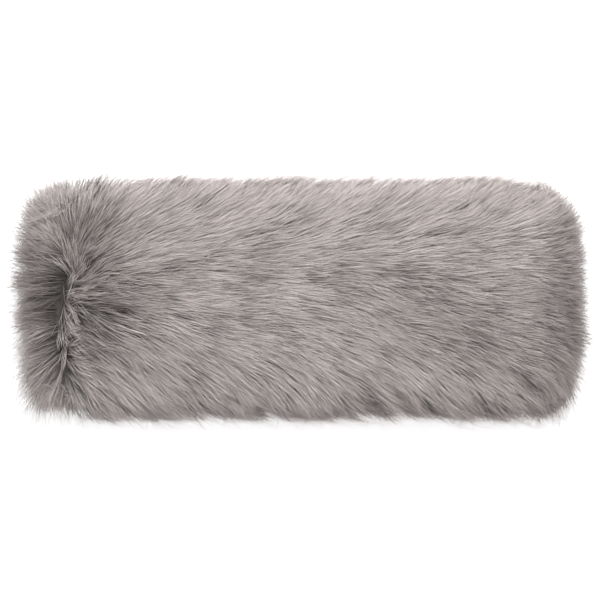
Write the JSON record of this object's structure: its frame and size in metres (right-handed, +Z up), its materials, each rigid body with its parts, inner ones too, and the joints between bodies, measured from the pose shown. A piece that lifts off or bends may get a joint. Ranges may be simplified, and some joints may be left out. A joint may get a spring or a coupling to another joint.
{
  "type": "head wrap",
  "caption": "Wide closed-loop head wrap of long-pile grey faux fur, lying flattened on its back panel with the head opening clear from rim to rim.",
  "frame": {"origin": "on the resting plane, under the middle of the flattened wrap", "axes": "+X along the flattened loop, away from the front seam; +Y across the band, from the lower to the upper rim; +Z up from the resting plane, out of the front panel's pile"},
  "size_m": [0.2797, 0.117, 0.044],
  "materials": {
    "ground_cloth": "matt warm-grey warp-knitted ground cloth",
    "fur_pile": "soft silvery warm-grey long pile"
  },
  "bodies": {
    "root": {"front_ground_cloth": "ground_cloth", "back_ground_cloth": "ground_cloth", "front_fur": "fur_pile", "back_fur": "fur_pile"}
  },
  "joints": []
}
